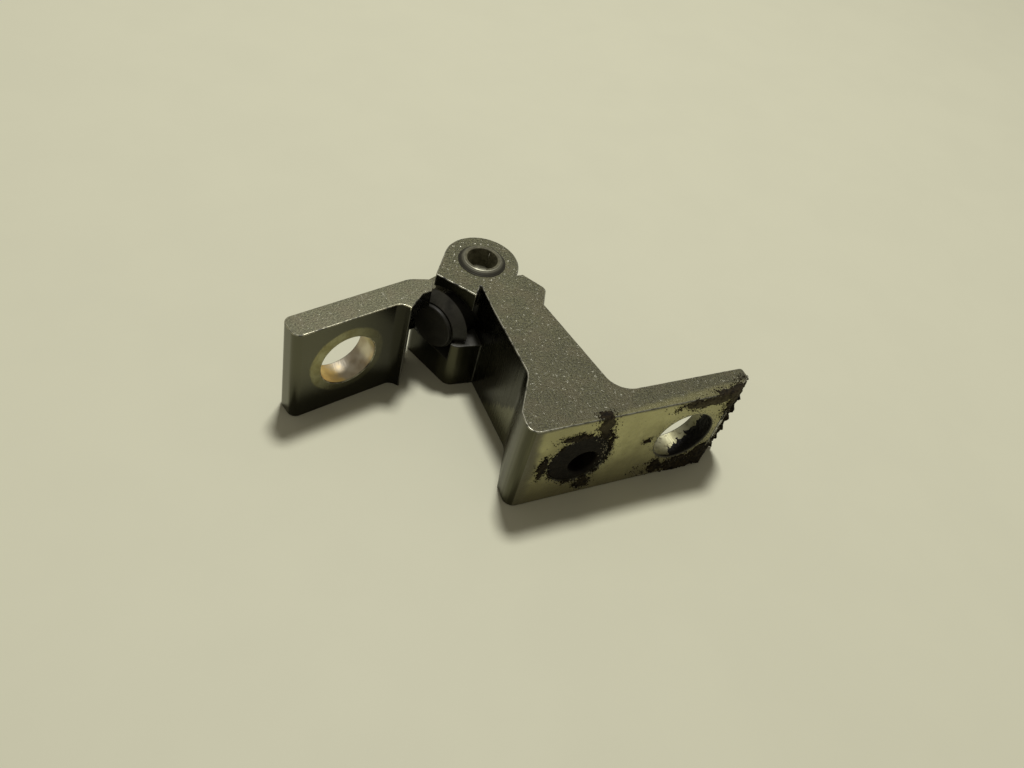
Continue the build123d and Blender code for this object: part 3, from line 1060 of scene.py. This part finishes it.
# %% Helper for slender bars
def add_bar(shape, first, last, half_width):
    """A slender six-sided bar between two places."""
    run = (last - first).normalized()
    side = run.cross(Vector((0.3, -0.5, 0.8))).normalized()
    other = run.cross(side)
    ends = []
    for place, size in ((first, 0.5), (first.lerp(last, 0.3), 1.0), (last, 0.7)):
        ends.append([
            shape.verts.new(place + (side * math.cos(a) + other * math.sin(a)) * half_width * size)
            for a in [math.pi * k / 3 for k in range(6)]
        ])
    for low, high in zip(ends, ends[1:]):
        join_rings(shape, low, high)
    shape.faces.new(list(reversed(ends[0])))
    shape.faces.new(ends[-1])


# %% Seam in the recess
SEAM_TURN = math.radians(36.0)
SEAM_WAY = Vector((math.cos(SEAM_TURN), math.sin(SEAM_TURN), 0.0))


def on_recess(reach, above):
    """Place on the recess's wall: mm out from the pin's axis and mm above the top."""
    place = PIN + SEAM_WAY * (reach * MM)
    place.z = TOP + above * MM
    return place


shape = bmesh.new()
add_bar(shape, on_recess(4.45, 0.4), on_recess(3.55, -3.6), 0.16 * MM)
add_mesh_piece("recess_seam", shape, marks_steel, "pillar")

# %% [markdown]
# ## Old sealant on the flange
#
# Sealant was pressed out when the flange was bolted to the body. It ran round the
# nut, over the top edge and along the sloped end, and dried into a rough, crumbly
# crust. A lump could be sculpted, but sculpting leaves nothing that can be changed
# later. Here rounded patches say where the crust is, and noise makes it ragged.

# %% Patches of sealant
# Each patch: along the flange from x = -50 mm, up from its foot, half width, half
# height. Beyond 32 mm up, the sheet turns over the top edge.
PATCHES = [
    (20.6, 29.2, 2.6, 5.4),
    (20.2, 33.0, 2.2, 1.8),
    (4.8, 15.6, 1.7, 4.4),
    (12.6, 26.0, 4.6, 1.5),
    (24.3, 19.5, 1.3, 4.6),
    (21.8, 25.2, 2.5, 2.6),
    (19.8, 4.6, 2.3, 2.9),
    (37.3, 17.7, 1.2, 1.1),
    (53.5, 30.2, 9.0, 1.9),
    (61.0, 31.6, 7.0, 2.5),
    (62.0, 27.6, 2.4, 4.6),
    (69.7, 14.0, 0.95, 18.5),
    (65.5, 28.0, 3.0, 4.5),
    (54.5, 3.0, 11.0, 4.2),
    (44.4, 3.6, 2.4, 3.4),
    (59.5, 6.4, 4.6, 4.2),
]
print("patches of sealant:", len(PATCHES))

# %% How far inside the crust a place lies
NUT_ALONG = 16.0
HOLE_ALONG = 50.0
HOLE_UP = 16.0
NUT_RING = 9.5
NUT_CLEAR = 8.9
RAGGED = 0.36
BARE = -1.0


def crust_depth(along, up):
    """How far inside the crust a place lies; below zero it is bare."""
    depth = -1.5
    for patch_along, patch_up, half_width, half_height in PATCHES:
        across = (along - patch_along) / half_width
        rise = (up - patch_up) / half_height
        depth = max(depth, 1.0 - math.hypot(across, rise))
    ring = math.hypot(along - NUT_ALONG, up - HOLE_UP)
    depth = max(depth, 0.3 - abs(ring - NUT_RING) / 1.3)
    if depth < 0.0:
        depth *= 0.55
    if depth < -0.55:
        return BARE
    coarse = noise.fractal(Vector((along, up, 3.0)) * 0.55, 0.7, 2.1, 6)
    fine = noise.noise(Vector((along, up, 9.0)) * 2.3)
    depth += RAGGED * coarse + 0.26 * fine
    from_hole = math.hypot(along - HOLE_ALONG, up - HOLE_UP)
    if ring < NUT_CLEAR or from_hole < HOLE_RADIUS + 0.3:
        return BARE
    return depth


# %% Beads on the sloped end
def end_beads(along, up):
    """Extra thickness in mm: beads that hang on the flange's sloped end."""
    near_end = max(0.0, 1.0 - abs(along - 69.6) / 3.0)
    below_top = min(1.0, max(0.0, (31.0 - up) / 2.0))
    wander = 1.6 * noise.noise(Vector((up, 0.0, 2.0)) * 0.3)
    beads = max(0.0, math.sin(up * math.tau / 4.4 + wander))
    return 0.7 * (near_end * below_top) * beads


# %% [markdown]
# The patches are drawn on a flat map of the flange: along its outline and up. Two
# helpers fold that map over the real thing, round the sloped end and over the top
# edge. A shrinkwrap modifier could do it too, but it rounds off the corners.

# %% Fold the map over the flange
OUTLINE = [(-50.0, 0.0), (11.5, 0.0), (18.5, 4.3), (18.5, 8.0)]
TOP_ROUND = 0.3


def on_outline(along):
    """Plan point and outward direction at a distance along the flange's outline."""
    for first, last in zip(OUTLINE, OUTLINE[1:]):
        step = Vector((last[0] - first[0], last[1] - first[1]))
        length = step.length
        if along <= length or last is OUTLINE[-1]:
            step.normalize()
            point = Vector(first) + step * min(max(along, 0.0), length)
            return point, Vector((step.y, -step.x))
        along -= length


def on_flange(along, up, height):
    """Place in metres on the flange's skin, with a height above it in mm."""
    point, outward = on_outline(along)
    arc = TOP_ROUND * math.pi / 2
    turn_start = 2 * HALF_HEIGHT - TOP_ROUND
    if up <= turn_start:
        plan = point + outward * height
        return Vector((plan.x, plan.y, up - HALF_HEIGHT)) * MM
    turn = min((up - turn_start) / arc, 1.0) * math.pi / 2
    beyond = max(up - turn_start - arc, 0.0)
    reach = TOP_ROUND + height
    plan = point - outward * (TOP_ROUND + beyond) + outward * (math.cos(turn) * reach)
    level = HALF_HEIGHT - TOP_ROUND + math.sin(turn) * reach
    return Vector((plan.x, plan.y, level)) * MM


hole_middle = on_flange(HOLE_ALONG, HOLE_UP, 0.0)
print("middle of the bolt hole in mm:", [round(v / MM, 1) for v in hole_middle])

# %% [markdown]
# The crust is a thin sheet over every cell of the map that lies inside it. Two kinds
# of noise make it lumpy, and its rim dips into the metal, so no gap shows. A sheet
# has far fewer faces than a solid lump, and nothing is hidden under it.


# %% Thickness of the crust
def lumpy_thickness(along, up, depth):
    """Thickness of the crust in mm, from how far inside it a place lies."""
    lumps = 0.5 + 0.5 * noise.noise(Vector((along, up, 1.0)) * 0.9)
    crumbs = 0.5 + 0.5 * noise.noise(Vector((along, up, 5.0)) * 3.0)
    depth = min(depth, 0.7)
    return 0.06 + depth * (0.2 + 0.6 * lumps) + 0.3 * crumbs * min(1.0, 3.0 * depth)


# %% Lay the crust
def crust_sheet(name, cell, columns, rows, depth_at, place_at, finish, extra=None):
    """A lumpy sheet over every cell whose four corners lie inside the crust."""
    depths = [[depth_at(c * cell, r * cell) for r in range(rows)] for c in range(columns)]
    cells = []
    uses = {}
    for c in range(columns - 1):
        for r in range(rows - 1):
            corners = [(c, r), (c + 1, r), (c + 1, r + 1), (c, r + 1)]
            if min(depths[i][j] for i, j in corners) > 0.0:
                cells.append(corners)
                for corner in corners:
                    uses[corner] = uses.get(corner, 0) + 1
    shape = bmesh.new()
    points = {}
    for corner, count in uses.items():
        along, up = corner[0] * cell, corner[1] * cell
        thick = lumpy_thickness(along, up, depths[corner[0]][corner[1]])
        if extra:
            thick += extra(along, up)
        height = thick if count == 4 else -0.12
        points[corner] = shape.verts.new(place_at(along, up, height))
    for corners in cells:
        shape.faces.new([points[corner] for corner in corners]).smooth = True
    add_mesh_piece(name, shape, finish, "pillar")


crust_black = mottled(
    "crust_black",
    (0.004, 0.003, 0.002),
    (0.030, 0.023, 0.011),
    size=0.9,
    rough=0.75,
    metal=0.0,
    depth=0.3,
    shine=0.1,
    dust_and_sheen_colour=(0.075, 0.064, 0.036),
    lighter_from=8.5 * MM,
)
crust_sheet(
    "flange_crust",
    cell=0.22,
    columns=332,
    rows=161,
    depth_at=crust_depth,
    place_at=on_flange,
    finish=crust_black,
    extra=end_beads,
)

# %% [markdown]
# Some of the sealant ran into the bolt hole and dried on its right and lower wall.
# The same sheet serves there. Only the map differs: it is the unrolled wall.

# %% Sealant in the bolt hole
BORE_START = math.radians(120.0)


def bore_depth(around, back):
    """Crust on the right and lower wall of the bolt hole."""
    angle = around / HOLE_RADIUS - BORE_START
    main = 1.0 - math.hypot((angle - math.radians(-22.0)) / 1.3, (back - 1.8) / 3.6)
    upper = 1.0 - math.hypot((angle - math.radians(48.0)) / 0.34, (back - 1.2) / 2.6)
    coarse = noise.fractal(Vector((around, back, 7.0)) * 0.6, 0.7, 2.1, 5)
    return max(main, upper) + RAGGED * coarse


def in_bore(around, back, height):
    """Place in metres on the bolt hole's wall, with a height above it in mm."""
    angle = around / HOLE_RADIUS - BORE_START
    reach = HOLE_RADIUS - height * 0.7
    return Vector((math.cos(angle) * reach, 0.25 + back, math.sin(angle) * reach)) * MM


grime_black = mottled(
    "grime_black",
    (0.002, 0.0018, 0.0014),
    (0.008, 0.007, 0.005),
    size=1.5,
    rough=0.5,
    metal=0.0,
    depth=0.2,
    shine=0.15,
)
crust_sheet(
    "bore_crust",
    cell=0.16,
    columns=214,
    rows=45,
    depth_at=bore_depth,
    place_at=in_bore,
    finish=grime_black,
)

# %% [markdown]
# Loose crumbs lie in and around the crust. They are small, uneven grains, most of
# them dark and every few one pale, so that the crust looks broken up from close by.
# A particle system could strew them, but plain throws of the dice can ask the crust
# how deep it is at each place, and keep only the grains that lie in it or beside it.


# %% One crumb
def add_crumb(shape, centre, size, dice):
    """One uneven grain with six corners."""
    corners = []
    for way in ((1, 0, 0), (0, 1, 0), (-1, 0, 0), (0, -1, 0), (0, 0, 1), (0, 0, -1)):
        reach = size * dice.uniform(0.55, 1.15)
        shift = Vector([dice.uniform(-0.35, 0.35) for _ in range(3)])
        corners.append(shape.verts.new(centre + (Vector(way) + shift) * reach))
    for k in range(4):
        shape.faces.new([corners[k], corners[(k + 1) % 4], corners[4]])
        shape.faces.new([corners[(k + 1) % 4], corners[k], corners[5]])


# %% Strewn crumbs
def crumbs(name, tries, seed, lowest, highest, finish):
    """Grains where the crust's depth lies between two values."""
    dice = random.Random(seed)
    shape = bmesh.new()
    for _ in range(tries):
        along = dice.uniform(0.0, 72.0)
        up = dice.uniform(0.6, 34.6)
        depth = crust_depth(along, up)
        if lowest < depth < highest:
            size = dice.uniform(0.09, 0.26) * MM
            add_crumb(shape, on_flange(along, up, 0.08 + 0.5 * max(depth, 0.0)), size, dice)
    add_mesh_piece(name, shape, finish, "pillar")


def nut_crumbs(tries):
    """A little heap of grains on the right of the pressed-in nut."""
    dice = random.Random(13)
    shape = bmesh.new()
    for _ in range(tries):
        turn = dice.gauss(0.35, 0.45)
        reach = dice.gauss(8.0, 0.55)
        if reach < 8.8:
            along = NUT_ALONG + math.cos(turn) * reach
            up = HOLE_UP + math.sin(turn) * reach
            add_crumb(shape, on_flange(along, up, -0.2), dice.uniform(0.1, 0.3) * MM, dice)
    add_mesh_piece("nut_crumbs", shape, crumb_pale, "pillar")


crumb_pale = mottled(
    "crumb_pale", (0.16, 0.145, 0.09), (0.36, 0.34, 0.24), size=0.8, rough=0.7, metal=0.0, depth=0.1
)
nut_crumbs(tries=55)
crumbs("dark_crumbs", tries=9000, seed=11, lowest=-0.22, highest=0.3, finish=crust_black)
crumbs("pale_crumbs", tries=2600, seed=12, lowest=-0.3, highest=0.5, finish=crumb_pale)

# %% [markdown]
# ## Floor
#
# The hinge lies on a pale table. A plane that ends in view would need a backdrop
# behind it, so this one reaches six metres each way and fills the picture. It is
# matt, and the faint unevenness keeps it from looking like plain paper.


# %% Floor
def pale_table():
    """Matt, warm white surface with faint unevenness."""
    finish, tree, shader, coords = new_finish("pale_table")
    clouds = steps(tree, grain(tree, coords, 30.0, 3.0), 0.3, 0.7)
    feed(shader, "Base Color", blend(tree, clouds, (0.570, 0.564, 0.425), (0.580, 0.574, 0.432)))
    shader.inputs["Roughness"].default_value = 0.6
    shader.inputs["Specular IOR Level"].default_value = 0.2
    feed(shader, "Normal", relief(tree, grain(tree, coords, 2.0, 3.0), 0.03, 0.2))
    return finish


TABLE_REACH = 6.0
floor_mesh = bpy.data.meshes.new("table_top")
shape = bmesh.new()
ways = [(-1, -1), (1, -1), (1, 1), (-1, 1)]
shape.faces.new([shape.verts.new((x * TABLE_REACH, y * TABLE_REACH, BOTTOM)) for x, y in ways])
shape.to_mesh(floor_mesh)
shape.free()
floor_mesh.materials.append(pale_table())
floor = bpy.data.objects.new("table_top", floor_mesh)
bpy.context.scene.collection.objects.link(floor)
print("table top at", round(BOTTOM / MM, 1), "mm")

# %% [markdown]
# ## Light
#
# One lamp hangs high behind the hinge, a little to the right, so short soft shadows
# fall towards the viewer. A point lamp would give hard shadows and tiny highlights.
# A square one, as wide as a desk lamp's shade, softens both. The pale room fills
# what the lamp leaves dark, and it does so evenly from all sides.

# %% Lamp and room
LAMP_TURN = math.radians(67.0)
LAMP_RISE = math.radians(73.0)
LAMP_DISTANCE = 1.4
AIM = Vector((-0.02, 0.03, 0.0))

lamp_data = bpy.data.lights.new("room_lamp", "AREA")
lamp_data.shape = "SQUARE"
lamp_data.size = 0.19
lamp_data.energy = 16.4
lamp_data.color = (1.0, 0.99, 0.97)
lamp = bpy.data.objects.new("room_lamp", lamp_data)
level_part = math.cos(LAMP_RISE)
to_lamp = Vector(
    (math.cos(LAMP_TURN) * level_part, math.sin(LAMP_TURN) * level_part, math.sin(LAMP_RISE))
)
lamp.location = AIM + to_lamp * LAMP_DISTANCE
lamp.rotation_mode = "QUATERNION"
lamp.rotation_quaternion = to_lamp.to_track_quat("Z", "Y")
bpy.context.scene.collection.objects.link(lamp)

world = bpy.data.worlds.new("room")
bpy.context.scene.world = world
world.use_nodes = True
background = world.node_tree.nodes["Background"]
background.inputs["Color"].default_value = (1.0, 0.93, 0.80, 1.0)
background.inputs["Strength"].default_value = 0.235
print("lamp at", [round(v, 3) for v in lamp.location], "m")

# %% [markdown]
# ## Camera
#
# The camera looks down on the hinge from its front left, about 25 cm away. Turning
# it by hand until the picture looks right would take many tries. Its place, turn and
# lens were fitted together instead, so that the flat faces and round holes come out
# in the frame where the eye sees them on the real hinge.

# %% Camera
camera_data = bpy.data.cameras.new("camera")
camera_data.lens = 31.64
camera_data.sensor_width = 36.0
camera_data.clip_start = 0.01
camera = bpy.data.objects.new("camera", camera_data)
camera.location = (-0.145854, -0.115637, 0.182667)
camera.rotation_euler = [math.radians(a) for a in (43.09, -11.904, -23.315)]
bpy.context.scene.collection.objects.link(camera)
bpy.context.scene.camera = camera
bpy.context.scene.view_settings.view_transform = "Standard"
print("camera at", [round(v, 3) for v in camera.location], "m")
